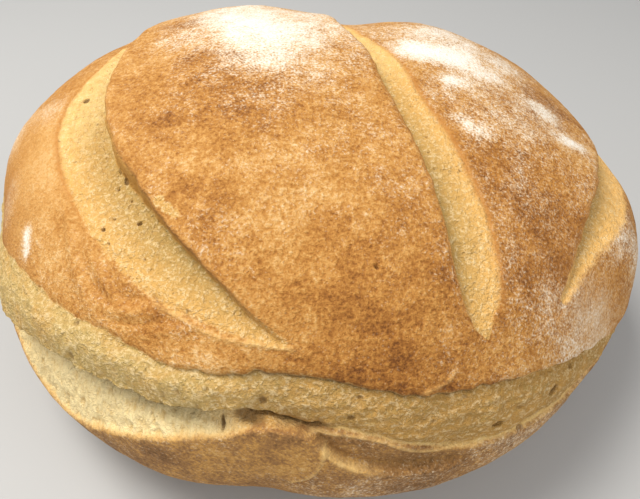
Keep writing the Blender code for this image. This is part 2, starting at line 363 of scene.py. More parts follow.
# Browning and flour of the lower crust: degrees from the front and height in millimetres, reach, strength
UNDER_TONES = [
    (-8, 58, 16, 0.14),
    (-8, 42, 12, -0.10),
    (14, 48, 14, -0.20),
    (-22, 52, 9, -0.12),
]
UNDER_FLOUR = [
    (8, 38, 16, 0.20),
    (35, 42, 30, 0.30),
    (-50, 30, 40, 0.22),
    (0, 44, 18, 0.12),
    (-4, 63, 9, -0.40),
]

# Smoother crust: place on the skin map, reach and strength
SMOOTH = [(-135, -50, 62, 0.65), (142, -112, 32, 0.5)]

# Bigger holes: place on the skin map, or degrees from the front and height in millimetres where they
# are in the burst, then their half width, half height and depth in millimetres
CRUST_HOLES = [
    (-96, -19, 2.0, 2.0, 0.9),
    (-65, -80, 1.8, 2.4, 0.8),
    (42, -126, 0.9, 0.9, 1.2),
    (-58, -104, 1.2, 1.0, 1.4),
    (-75, -104, 0.9, 0.9, 1.2),
    (-129, 13, 1.0, 1.0, 0.8),
]
BURST_HOLES = [
    (37, 61, 2.6, 1.2, 2.0),
    (26, 62, 2.0, 1.1, 1.8),
    (34, 50, 1.6, 1.0, 1.4),
    (30, 54, 1.5, 0.9, 1.4),
    (-12.4, 72.2, 0.8, 2.2, 1.2),
    (-8.3, 75.6, 6.0, 1.8, 2.6),
]
# Crumb that shows through the crust: place on the skin map and reach in millimetres
NOTCHES = [(-41, -102, 2.4), (-38, -105, 2.2), (-35, -108, 1.8)]

# Marks that the relief leaves for the finish, each from 0 to 1
MARKS = (
    "cliff", "crack", "opening", "rim", "scorch", "deep", "foot", "band", "toast", "shade", "near_end",
    "shade_under_roll",
)
# Value of the torn mark where there is no crumb, in millimetres from the crumb's edge
NO_CRUMB = -9.0
# Widths of the thin lines along a slash, in millimetres: the scorched far edge, the scorched cliff edge
# and the crack beside it, where shade is painted, then how strong the crack is and how deep a floor
# is before its painted olive shade is full
SCORCHED_FAR_EDGE = 1.3
SCORCHED_CLIFF = 0.7
CLIFF_CRACK = (0.3, 0.7)
CLIFF_CRACK_STRENGTH = 0.75
PAINTED_SHADE_DEPTH = 6.0


def eased(x):
    x = np.clip(x, 0.0, 1.0)
    return x * x * (3.0 - 2.0 * x)


def bell(x):
    return np.exp(-x * x)


def through(places, rows):
    """Values at the places, on smooth curves through rows of (place, value, value, ...)."""
    rows = np.array(rows, float)
    knots, values = rows[:, 0], rows[:, 1:]
    slopes = np.gradient(values, knots, axis=0)
    places = np.clip(places, knots[0], knots[-1])
    left = np.clip(np.searchsorted(knots, places) - 1, 0, len(knots) - 2)
    span = (knots[left + 1] - knots[left])[:, None]
    t = (places - knots[left])[:, None] / span
    rise = t * t * (3 - 2 * t)
    start = t * (1 - t) ** 2 * span * slopes[left]
    end = t * t * (t - 1) * span * slopes[left + 1]
    return (1 - rise) * values[left] + rise * values[left + 1] + start + end


def scattered(cells, seed):
    """A random number from 0 to 1 for each whole-numbered cell."""
    x, y, z = cells.T
    mixed = (x * 73856093) ^ (y * 19349663) ^ (z * 83492791) ^ (seed * 2654435761)
    mixed = ((mixed ^ (mixed >> 13)) * 1274126177) & 0xFFFFFF
    return mixed / float(0xFFFFFF)


def uneven(points, size, seed):
    """Smooth random relief from -1 to 1, with bumps about one size across."""
    cells = points / size
    corner = np.floor(cells).astype(np.int64)
    ease = eased(cells - corner)
    total = np.zeros(len(points))
    for step in np.ndindex(2, 2, 2):
        share = np.prod(np.where(step, ease, 1 - ease), axis=1)
        total += share * (2.0 * scattered(corner + step, seed) - 1.0)
    return total


def pores(points, size, share, seed):
    """Round dents in that share of the cells of that size: 1 in the middle of a dent and 0 outside it."""
    cells = points / size
    corner = np.floor(cells).astype(np.int64)
    deepest = np.zeros(len(points))
    for step in np.ndindex(3, 3, 3):
        cell = corner + step - 1
        away = np.zeros(len(points))
        for axis in range(3):
            middle = cell[:, axis] + 0.2 + 0.6 * scattered(cell, seed + 1 + axis)
            away += (cells[:, axis] - middle) ** 2
        reach = 0.14 + 0.34 * scattered(cell, seed) ** 2
        dent = np.where(scattered(cell, seed + 4) < share, 1.0 - away / reach ** 2, 0.0)
        deepest = np.maximum(deepest, dent)
    return deepest


def dome(directions):
    """Plain dome of the dough, in metres, and the way its skin faces."""
    flat = np.hypot(directions[:, 0], directions[:, 1])
    steep = np.abs(directions[:, 2])
    turn = np.arctan2(directions[:, 1], directions[:, 0])
    upper = directions[:, 2] > 0
    reach = LOAF_RADIUS * (1 + OVAL * np.cos(2 * (turn - OVAL_TURN)))
    tall = np.where(upper, RISE, UNDERSIDE)
    power = np.where(upper, DOME_ROUNDNESS, UNDERSIDE_ROUNDNESS)
    size = ((flat / reach) ** power + (steep / tall) ** power) ** (-1 / power)
    points = directions * size[:, None]
    outward = flat ** (power - 1) / reach ** power
    upward = steep ** (power - 1) / tall ** power * np.sign(directions[:, 2])
    facing = np.column_stack([outward * np.cos(turn), outward * np.sin(turn), upward])
    facing /= np.linalg.norm(facing, axis=1)[:, None]
    lean = np.clip(points[:, 2] / RISE, 0, 1) ** 2
    points[:, 0] += TOP_LEAN[0] * lean
    points[:, 1] += TOP_LEAN[1] * lean
    points[:, 2] += BELLY_HEIGHT
    return points, facing


def skin_map(directions):
    """Flat map of the skin: millimetres from the top, along the skin, each way from the top."""
    polar = np.arccos(np.clip(directions[:, 2], -1, 1))
    flat = np.maximum(np.hypot(directions[:, 0], directions[:, 1]), 1e-9)
    return directions[:, :2] * (polar * SKIN_RADIUS / flat)[:, None]


def fine_path(rows):
    """Evenly spaced points along a smooth curve through the rows, and the share of the way at each."""
    rows = np.array(rows, float)
    steps = np.hypot(*np.diff(rows[:, :2], axis=0).T)
    along = np.concatenate([[0.0], np.cumsum(steps)])
    along /= along[-1]
    places = np.linspace(0.0, 1.0, PATH_POINTS)
    return np.column_stack([through(places, np.column_stack([along, rows])), places])


def beside(places, path, width=90.0):
    """For each place: the nearest row of the path, how far it lies beside it and past its ends."""
    route = path[:, :2]
    nearest = np.zeros(len(places), int)
    low, high = route.min(axis=0) - width, route.max(axis=0) + width
    close = np.where(((places > low) & (places < high)).all(axis=1))[0]
    block = 20000
    for first in range(0, len(close), block):
        chosen = close[first:first + block]
        away = places[chosen, None, :] - route[None]
        nearest[chosen] = (away ** 2).sum(axis=2).argmin(axis=1)
    ahead = np.gradient(route, axis=0)
    ahead /= np.linalg.norm(ahead, axis=1)[:, None]
    ahead = ahead[nearest]
    away = places - route[nearest]
    offset = ahead[:, 0] * away[:, 1] - ahead[:, 1] * away[:, 0]
    run = (ahead * away).sum(axis=1)
    past = np.where(nearest == 0, -run, np.where(nearest == len(path) - 1, run, 0.0))
    far = np.full(len(places), FAR_AWAY)
    far[close] = np.maximum(past[close], 0.0)
    return path[nearest], offset, far, ahead


def slash_relief(places, spots, slash):
    """Height and sideways lean of one slash's relief in millimetres, and its marks."""
    rows, side, hollow, step, sink, ear, lean, blur, toast = slash
    path = fine_path(rows)
    row, offset, past, ahead = beside(places, path)
    width, depth, cliff, share = row[:, 2:].T
    full = np.minimum(depth / FULL_DEPTH, 1.0)
    across = offset * side + full * RAGGED_EDGE[1] * uneven(spots, RAGGED_EDGE[0], 11)
    swell = eased(share / SWELL_SHARE) * eased((1.0 - share) / SWELL_SHARE)
    step = step * full
    down = eased(across / cliff)
    rest = np.clip((width - across) / np.maximum(width - cliff, 1.0), 0.0, 1.0)
    floor = -down * np.maximum(depth * rest ** hollow, step)
    far_edge = -step * (1.0 - eased(across - width))
    cut = np.where(across < width, floor, far_edge)
    sunk = bell(np.maximum(across - width / 2, 0.0) / SINK_REACH) * eased(across / (cliff + SINK_START))
    before = np.minimum(across, 0.0)
    rounding = EDGE_ROUNDING[1] * np.maximum(1.0 + before / EDGE_ROUNDING[0], 0.0) ** 2
    proud = (ear * np.exp(before / EAR_REACH) - rounding) * (1.0 - down)
    fade = bell(past / END_FADE)
    height = (cut + full * proud) * fade - sink * sunk * swell
    shift = side * lean * full * bell(across / cliff) * fade
    sideways = np.column_stack([-ahead[:, 1], ahead[:, 0]]) * shift[:, None]
    length = np.hypot(*np.diff(path[:, :2], axis=0).T).sum()
    soft = 1.0 - (1.0 - BLURRED_EDGE) * eased((share - blur) / BLUR_FADE)
    low_end = eased((share - LOW_END_START) / LOW_END_FADE)
    on_floor = np.where(across > 0, 1.0, 0.0) * fade
    near_floor = np.where(across > -2, 1.0, 0.0) * fade
    scorched_far = bell((across - width) / SCORCHED_FAR_EDGE) * np.clip(soft * 2.0 - 1.0, 0.0, 1.0)
    scorched_near = (0.5 + 0.5 * low_end) * bell(across / SCORCHED_CLIFF)
    cliff_crack = bell((across - CLIFF_CRACK[0]) / CLIFF_CRACK[1])
    untoasted = 1.0 - eased(toast / 0.2)
    marks = {
        "torn": np.minimum(across, (width - across) * soft) - past,
        # Painted shade: a dark crack line along the cliff towards the near end
        "crack": CLIFF_CRACK_STRENGTH * low_end * untoasted * cliff_crack * full * fade,
        "cliff": eased(across + 1.0) * eased((cliff - across) / 1.5 + 0.7) * full * fade,
        "scorch": np.maximum(scorched_far, scorched_near) * full * fade,
        # Painted shade: the deeper the floor, the more olive it is painted, more so towards the near end
        "deep": np.clip(-cut / PAINTED_SHADE_DEPTH * (0.75 + 0.7 * low_end), 0.0, 1.0) * on_floor,
        "toast": (toast + 0.5 * eased((across / width - 0.45) / 0.5)) * near_floor,
        "near_end": low_end * fade,
        "grain": np.column_stack([share * length, across, np.zeros(len(across))]),
    }
    return height, sideways, marks


def burst_relief(turn, height, spots):
    """Relief of the burst round the side and how far its edges sag, in millimetres, and its marks."""
    crust_edge, band_foot, opening_foot = through(turn, BURST).T
    start = eased((turn - BURST_START) / BURST_START_FADE)
    ends = start * eased((BURST_END - turn) / BURST_END_FADE)
    opening = np.maximum(band_foot - opening_foot, 0.0)
    open_share = eased((OPENING_END - turn) / OPENING_FADE) * np.minimum(opening / FULL_OPENING, 1.0)
    open_share = open_share * eased((turn - OPENING_START) / OPENING_START_FADE)
    height = height + RAGGED_EDGE[1] * uneven(spots, RAGGED_EDGE[0], 12)
    up_band = (height - band_foot) / (crust_edge - band_foot)
    up_opening = np.clip((height - opening_foot) / np.maximum(opening, 1.0), 0.0, 1.0)
    deep = OPENING_DEPTH * open_share

    sharp = SOFT_EDGE + (1.0 - SOFT_EDGE) * eased((turn - SHARP_EDGE_START) / SHARP_EDGE_FADE)
    crust = sharp * CRUST_LIP * np.exp(-np.maximum(height - crust_edge, 0.0) / CRUST_LIP_REACH)
    roll = BAND_ROLL_RIGHT + (BAND_ROLL_LEFT - BAND_ROLL_RIGHT) * open_share
    band = roll * np.sin(math.pi * np.clip(up_band, 0.0, 1.0) ** ROLL_SKEW) - BAND_SET_BACK * sharp
    band -= deep * (1.0 - eased(up_band / GROOVE_SHARE))
    pale = -deep * up_opening ** OPENING_HOLLOW - FOOT_LIP
    lower = FOOT_LIP * np.exp(-np.maximum(opening_foot - height, 0.0) / FOOT_LIP_REACH)

    torn = np.where(height > band_foot, band, pale)
    over = eased((height - crust_edge) / EDGE_WIDTH + 0.5)
    under = eased((opening_foot - height) / EDGE_WIDTH + 0.5)
    relief = torn * (1.0 - over) * (1.0 - under) + crust * over + lower * under
    crack_share = eased((turn - EDGE_CRACK_START) / EDGE_CRACK_FADE)
    edge_crack = crack_share * bell((height - crust_edge + EDGE_CRACK[1]) / EDGE_CRACK[1])
    foot_window = eased((turn - FOOT_CRACK_START) / FOOT_CRACK_START_FADE)
    foot_window = foot_window * eased((FOOT_CRACK_END - turn) / FOOT_CRACK_END_FADE)
    foot_crack = foot_window * bell((height - band_foot - 0.5) / FOOT_CRACK[1])
    relief -= EDGE_CRACK[0] * edge_crack + FOOT_CRACK[0] * foot_crack
    sag = OPENING_SAG * open_share * bell((up_band - SAG_PLACE) / SAG_SPREAD)
    sag += sharp * CRUST_OVERHANG * bell((height - crust_edge) / EDGE_WIDTH)
    overhang = bell((height - band_foot - 1.5 * FOOT_OVERHANG[1]) / FOOT_OVERHANG[1])
    sag += FOOT_OVERHANG[0] * foot_window * overhang
    inner = np.minimum(crust_edge - height, height - opening_foot)
    inner = np.where(ends > 0.02, inner - 2.0 * (1.0 - ends), NO_CRUMB)
    in_burst = eased(inner + 0.5)
    below_band = eased((band_foot - height) / 2.0 + 0.7)
    in_shade = eased((height - band_foot) / SHADE_REACH + FULL_SHADE)
    under_roll = eased((0.62 - up_band) / 0.4) * eased((turn - SHADE_UNDER_ROLL_START) / SHADE_UNDER_ROLL_FADE)
    foot_edge = BACK_FOOT + (opening_foot - BACK_FOOT) * ends
    marks = {
        "torn": inner,
        # Painted shade in the cracks under the crust's edge and at the band's foot
        "crack": edge_crack + foot_crack,
        # Painted shade: olive in the crease where the band meets the pale opening
        "deep": open_share * eased(1.0 - np.abs(up_band) / 0.3) * in_burst,
        "opening": open_share * eased((band_foot - height) / 2.0 + 0.5) * in_burst,
        "rim": 0.8 * open_share * bell((height - opening_foot) / 0.9),
        # Painted shade on the lower part of the band's roll
        "shade_under_roll": open_share * under_roll,
        "shade": open_share * in_shade * below_band,
        "foot": eased((foot_edge - height) / (8.0 - 6.0 * ends) + 0.5),
        "band": eased(up_band / 0.1) * in_burst,
        "grain": np.column_stack([turn * DEGREE_LENGTH, height, np.zeros(len(turn))]),
    }
    return relief * ends, sag * ends, marks


def front_lip_relief(turn, height):
    """Step where the front lip of the lower crust ends, and marks of its edge and of the pocket where
    shade is painted.
    """
    places = np.column_stack([turn * DEGREE_LENGTH, height])
    rows = [(degrees * DEGREE_LENGTH, tall) for degrees, tall in FRONT_LIP]
    _, offset, past, _ = beside(places, fine_path(rows))
    fade = bell(past / END_FADE) * eased((turn - FRONT_LIP_START) / FRONT_LIP_FADE)
    proud = FRONT_LIP_PROUD * np.exp(np.minimum(offset, 0.0) / FRONT_LIP_REACH[0])
    hollow = -FRONT_LIP_HOLLOW * np.exp(-np.maximum(offset, 0.0) / FRONT_LIP_REACH[1])
    side = eased(offset / EDGE_WIDTH + 0.5)
    relief = (proud * (1.0 - side) + hollow * side) * fade
    pale_share = eased(turn / 2.0) * eased((10.0 - turn) / 5.0)
    edge = 0.9 * bell((offset + 0.6) / 0.8) * bell(past / END_FADE) * pale_share
    pocket = side * np.exp(-np.maximum(offset, 0.0) / FRONT_LIP_REACH[1]) * bell(past / END_FADE)
    return relief, edge, pocket


def fold_relief(places, folds):
    """Folds of the crust, in millimetres, and where they are pale."""
    lift = np.zeros(len(places))
    pale = np.zeros(len(places))
    for height, half_width, paleness, way in folds:
        _, offset, past, _ = beside(places, fine_path(way), FOLD_WINDOW)
        fade = bell(past / FOLD_FADE)
        ridge = bell(offset / half_width) * fade
        gully = bell((offset - 1.6 * half_width) / half_width) * fade
        lift += height * (ridge - 0.6 * gully)
        pale = np.maximum(pale, paleness * ridge)
    return lift, pale


def patches(places, rows):
    """Sum of soft round patches on the skin map."""
    total = np.zeros(len(places))
    for x, y, reach, strength in rows:
        total += strength * bell(np.hypot(places[:, 0] - x, places[:, 1] - y) / reach)
    return total


def shaped(directions):
    """Points of the loaf's skin in metres for directions from its middle, and the marks of its finish."""
    points, facing = dome(directions)
    places = skin_map(directions)
    turn = np.degrees(np.arctan2(directions[:, 0], -directions[:, 1]))
    height = points[:, 2] / MM
    spots = points / MM
    count = len(points)
    lift = patches(places, SWELLINGS)
    shift = np.zeros_like(points)
    marks = {name: np.zeros(count) for name in MARKS}
    marks["torn"] = np.full(count, NO_CRUMB)
    marks["grain"] = spots.copy()

    def gather(found):
        inside = found["torn"] > marks["torn"]
        for name, values in found.items():
            if name in ("torn", "grain"):
                marks[name][inside] = values[inside]
            else:
                marks[name] = np.maximum(marks[name], values)

    for slash in SLASHES:
        relief, sideways, found = slash_relief(places, spots, slash)
        lift += relief
        shift[:, :2] += sideways
        gather(found)
    for x, y, reach in NOTCHES:
        away = np.hypot(places[:, 0] - x, places[:, 1] - y)
        marks["torn"] = np.maximum(marks["torn"], reach - away)
    slash_torn = marks["torn"] > 0
    relief, sag, found = burst_relief(turn, height, spots)
    band = (found["torn"] > 0) & ~slash_torn
    gather(found)
    lip, lip_edge, pocket = front_lip_relief(turn, height)
    around = np.column_stack([turn * DEGREE_LENGTH, height])
    ways = [row[:3] + ([(x * DEGREE_LENGTH, y) for x, y in row[3]],) for row in BURST_FOLDS]
    folds, pale_folds = fold_relief(places, FOLDS)
    burst_folds, pale_burst_folds = fold_relief(around, ways)
    pale_folds = np.maximum(pale_folds, pale_burst_folds)
    lift += relief + lip + folds + burst_folds
    shift[:, 2] -= sag
    lift += LUMPS[1] * uneven(spots, LUMPS[0], 1)
    lift += DIMPLES[1] * uneven(spots, DIMPLES[0], 2)

    torn = eased(marks["torn"] / 1.5)
    opening = marks["opening"]
    lift += (1.0 - torn) * BLISTERS[1] * uneven(spots, BLISTERS[0], 4)
    lift += torn * CRUMB_KNOBS[1] * uneven(spots, CRUMB_KNOBS[0], 3)
    lift += torn * CRUMB_GRAIN[1] * uneven(spots, CRUMB_GRAIN[0], 5)
    grain = marks["grain"]
    streaks = np.column_stack([grain[:, 0] / STREAK_STRETCH, grain[:, 1], grain[:, 2]])
    lift += np.where(band, torn, 0.0) * (1.0 - opening) * STREAKS[1] * uneven(streaks, STREAKS[0], 6)
    fibres = np.column_stack([grain[:, 0], grain[:, 1] / FIBRE_STRETCH, grain[:, 2]])
    fleece = FIBRES[1] * uneven(fibres, FIBRES[0], 7) + TUFTS[1] * uneven(spots, TUFTS[0], 8)
    lift += opening * fleece
    pit = np.zeros(count)
    chosen = np.where(marks["torn"] > 0.3)[0]
    stretch = np.where(band[chosen], PORE_STRETCH, 1.0)
    cells = np.column_stack([grain[chosen, 0] / stretch, grain[chosen, 1], grain[chosen, 2]])
    share = np.where(band[chosen], PORE_SHARE[1], PORE_SHARE[0])
    pit[chosen] = pores(cells, PORES[0], share, 20) * (1.0 - 0.5 * opening[chosen])
    lift -= PORES[1] * torn * eased(pit)
    burst_holes = [(row[0] * DEGREE_LENGTH,) + row[1:] for row in BURST_HOLES]
    for spots_map, rows in ((places, CRUST_HOLES), (around, burst_holes)):
        for x, y, half_width, half_height, depth in rows:
            away = ((spots_map[:, 0] - x) / half_width) ** 2 + ((spots_map[:, 1] - y) / half_height) ** 2
            hole = np.exp(-away ** 2) * (directions[:, 2] > -0.5)
            lift -= depth * hole
            pit = np.maximum(pit, hole)

    points += (facing * lift[:, None] + shift) * MM
    points[:, 2] = (points[:, 2] + np.sqrt(points[:, 2] ** 2 + REST_BLEND ** 2)) / 2
    marks["rim"] = np.clip(marks["rim"] + pale_folds + lip_edge, 0.0, 1.0)
    marks["pit"] = np.clip(pit, 0.0, 1.0)
    marks["pocket"] = pocket
    marks["smooth"] = patches(places, SMOOTH)
    marks["fleece"] = fleece / (FIBRES[1] + TUFTS[1])
    for name, upper, lower in (("tone", TONES, UNDER_TONES), ("flour", FLOUR, UNDER_FLOUR)):
        below = patches(around, [(row[0] * DEGREE_LENGTH,) + row[1:] for row in lower])
        foot = marks["foot"]
        marks[name] = patches(places, upper) * (1.0 - foot) + below * foot
    return points, marks


def thinned(mesh, kept_faces):
    """The same skin with fewer triangles, most of them where the relief needs them."""
    draft = bpy.data.objects.new("draft", mesh)
    bpy.context.scene.collection.objects.link(draft)
    thin = draft.modifiers.new("thin", "DECIMATE")
    thin.ratio = min(1.0, kept_faces / len(mesh.polygons))
    depsgraph = bpy.context.evaluated_depsgraph_get()
    light = bpy.data.meshes.new_from_object(draft.evaluated_get(depsgraph))
    bpy.data.objects.remove(draft)
    bpy.data.meshes.remove(mesh)
    return light


def cut_flat(mesh):
    """Cut the underside off flat where the loaf rests and close the cut with level faces."""
    skin = bmesh.new()
    skin.from_mesh(mesh)
    geometry = skin.verts[:] + skin.edges[:] + skin.faces[:]
    cut = bmesh.ops.bisect_plane(
        skin,
        geom=geometry,
        plane_co=(0, 0, REST_CUT),
        plane_no=(0, 0, -1),
        clear_outer=True,
    )
    rim = [item for item in cut["geom_cut"] if isinstance(item, bmesh.types.BMEdge)]
    made = bmesh.ops.contextual_create(skin, geom=rim)
    bmesh.ops.triangulate(skin, faces=made["faces"])
    bmesh.ops.recalc_face_normals(skin, faces=skin.faces)
    skin.to_mesh(mesh)
    skin.free()


def coordinates(mesh):
    values = np.empty(len(mesh.vertices) * 3)
    mesh.vertices.foreach_get("co", values)
    return values.reshape(-1, 3)


def mark(mesh, name, values):
    """Store one mark of the finish on the mesh's points."""
    kind = "FLOAT" if values.ndim == 1 else "FLOAT_VECTOR"
    attribute = mesh.attributes.new(name, kind, "POINT")
    field = "value" if values.ndim == 1 else "vector"
    attribute.data.foreach_set(field, np.ascontiguousarray(values, np.float32).ravel())


def make_loaf():
    """The loaf as one closed skin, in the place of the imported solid."""
    skin = bmesh.new()
    subdivisions = SPHERE_SUBDIVISIONS
    bmesh.ops.create_icosphere(skin, subdivisions=subdivisions, radius=1.0)
    mesh = bpy.data.meshes.new("loaf_skin")
    skin.to_mesh(mesh)
    skin.free()
    directions = coordinates(mesh)
    directions /= np.linalg.norm(directions, axis=1)[:, None]
    mark(mesh, "direction", directions)
    mesh.vertices.foreach_set("co", shaped(directions)[0].ravel())
    mesh = thinned(mesh, KEPT_FACES)
    cut_flat(mesh)

    directions = np.empty(len(mesh.vertices) * 3)
    mesh.attributes["direction"].data.foreach_get("vector", directions)
    directions = directions.reshape(-1, 3)
    directions /= np.maximum(np.linalg.norm(directions, axis=1), 1e-6)[:, None]
    mesh.attributes.remove(mesh.attributes["direction"])
    for name, values in shaped(directions)[1].items():
        mark(mesh, name, values * MM if name == "grain" else values)

    points = coordinates(mesh)
    low, high = points.min(axis=0), points.max(axis=0)
    box_low, box_high = (np.array(corner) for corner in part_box("boule"))
    points += (box_low + box_high - low - high) / 2
    points[:, 2] += box_low[2] - points[:, 2].min()
    mesh.vertices.foreach_set("co", points.ravel())
    mesh.update()
    mesh.shade_smooth()
    loaf = bpy.data.objects.new("boule_loaf", mesh)
    bpy.context.scene.collection.objects.link(loaf)
    return loaf


class Finish:
    """A material and short ways to add the nodes of its pattern."""

    def __init__(self, name):
        self.material = bpy.data.materials.new(name)
        self.material.use_nodes = True
        self.tree = self.material.node_tree
        self.shader = self.tree.nodes["Principled BSDF"]
        self.place = self.add("ShaderNodeTexCoord").outputs["Object"]

    def add(self, kind, links=(), **settings):
        node = self.tree.nodes.new(kind)
        for key, value in settings.items():
            setattr(node, key, value)
        for socket, value in links:
            self.put(node.inputs[socket], value)
        return node

    def put(self, socket, value):
        if isinstance(value, bpy.types.NodeSocket):
            self.tree.links.new(value, socket)
        else:
            socket.default_value = value

    def mark(self, name, output="Fac"):
        return self.add("ShaderNodeAttribute", attribute_name=name).outputs[output]

    def noise(self, size, detail=2.0, roughness=0.5, place=None):
        """Soft noise about 0.5 with features of that size in metres."""
        links = [("Vector", place or self.place), ("Scale", 1.0 / size), ("Detail", detail)]
        return self.add("ShaderNodeTexNoise", links + [("Roughness", roughness)]).outputs["Fac"]

    def spots(self, size, low, high, place=None):
        """1 at the middle of round spots and 0 away from them, at distances in spot sizes."""
        node = self.add("ShaderNodeTexVoronoi", [("Vector", place or self.place), ("Scale", 1.0 / size)])
        return self.span(node.outputs["Distance"], high, low)

    def span(self, value, low, high):
        """0 below low, 1 above high and smooth between them."""
        links = [("Value", value), ("From Min", low), ("From Max", high)]
        return self.add("ShaderNodeMapRange", links, interpolation_type="SMOOTHSTEP").outputs["Result"]

    def math(self, operation, first, second):
        node = self.add("ShaderNodeMath", operation=operation)
        self.put(node.inputs[0], first)
        self.put(node.inputs[1], second)
        return node.outputs[0]

    def plus(self, first, second):
        return self.math("ADD", first, second)

    def minus(self, first, second):
        return self.math("SUBTRACT", first, second)

    def times(self, first, second):
        return self.math("MULTIPLY", first, second)

    def swing(self, pattern, strength):
        """A pattern about 0.5 turned into a swing about 0 of that strength."""
        return self.times(self.minus(pattern, 0.5), strength)

    def ramp(self, value, tones):
        """Colour at the value, on a scale of (place, colour)."""
        node = self.add("ShaderNodeValToRGB", [("Fac", value)])
        scale = node.color_ramp.elements
        while len(scale) < len(tones):
            scale.new(1.0)
        for element, (place, shade) in zip(scale, tones):
            element.position = place
            element.color = shade
        return node.outputs["Color"]

    def stretched(self, place, scale):
        node = self.add("ShaderNodeMapping", [("Vector", place), ("Scale", scale)])
        return node.outputs["Vector"]

    def mix(self, share, first, second):
        """Colour between two colours."""
        node = self.add("ShaderNodeMix", data_type="RGBA")
        self.put(node.inputs[0], share)
        self.put(node.inputs[6], first)
        self.put(node.inputs[7], second)
        return node.outputs[2]


def colour(red, green, blue):
    return (red, green, blue, 1.0)


# Crust from its brownest tone to its palest
CRUST_TONES = [
    (0.0, colour(0.15, 0.050, 0.009)),
    (0.22, colour(0.31, 0.120, 0.021)),
    (0.42, colour(0.46, 0.205, 0.043)),
    (0.60, colour(0.58, 0.300, 0.085)),
    (0.76, colour(0.68, 0.420, 0.170)),
    (0.90, colour(0.78, 0.580, 0.330)),
    (1.0, colour(0.84, 0.700, 0.480)),
]
UNDER_TONES_OF_CRUST = [
    (0.15, colour(0.17, 0.080, 0.026)),
    (0.45, colour(0.34, 0.170, 0.055)),
    (0.65, colour(0.54, 0.280, 0.070)),
    (1.0, colour(0.72, 0.470, 0.190)),
]
FLOUR_DUST = colour(0.80, 0.64, 0.44)
FLOUR_WHITE = colour(0.88, 0.83, 0.75)
YELLOW_CRUMB = colour(0.80, 0.56, 0.22)
PALE_FLECKS = colour(0.88, 0.70, 0.40)
TOASTED_CRUMB = colour(0.57, 0.305, 0.075)
GOLDEN_CRUMB = colour(0.88, 0.50, 0.15)
OLIVE_SHADE_AND_STREAKS = colour(0.38, 0.265, 0.085)
BAND_CRUMB = colour(0.555, 0.38, 0.135)
SHADED_CRUMB = colour(0.41, 0.226, 0.058)
PALE_CRUMB = colour(0.96, 0.77, 0.40)
SHADE_UNDER_BAND = colour(0.27, 0.20, 0.085)
TAN_TONE_AND_FIBRE_SHADE = colour(0.72, 0.49, 0.19)
HOLLOW_SHADE = colour(0.23, 0.12, 0.03)
RIM_ORANGE = colour(0.84, 0.56, 0.215)
LEDGE_BROWN = colour(0.52, 0.26, 0.05)
SCORCHED = colour(0.50, 0.22, 0.05)
CREVICE_SHADE = colour(0.12, 0.06, 0.02)

# Middle tone of the crust, then how much each pattern swings it: broad, patchy, mottled and fine
TONE_MIDDLE = 0.47
TONE_SWINGS = (0.45, 0.6, 0.45, 1.0)
# How much each pattern swings the flour: clouds, mottled and powdery
FLOUR_SWINGS = (0.9, 0.7, 1.6)
# Places along the loaf, in metres, between which the band's crumb goes from sunlit to shaded
BAND_SHADE_START = -0.07
BAND_SHADE_END = 0.03
BUMP_DEPTH = 0.45 * MM

# Studio: half the floor's width in metres, its grey and the sky, then each light's name, place, size in
# metres, power in watts and tint, and the point at which all of them aim
FLOOR_HALF_WIDTH = 3.0
FLOOR_GREY = colour(0.46, 0.46, 0.455)
SKY_TINT = colour(0.95, 0.97, 1.0)
SKY_STRENGTH = 0.38
LIGHTS = [
    ("key", (-0.42, 0.05, 1.0), 0.5, 12.0, (1.0, 0.97, 0.92)),
    ("front", (-0.55, -0.8, 0.3), 0.5, 1.5, (1.0, 0.97, 0.92)),
    ("fill", (0.6, -0.6, 0.7), 0.8, 4.4, (1.0, 0.98, 0.95)),
]
LIGHT_AIM = (0.0, 0.0, 0.05)


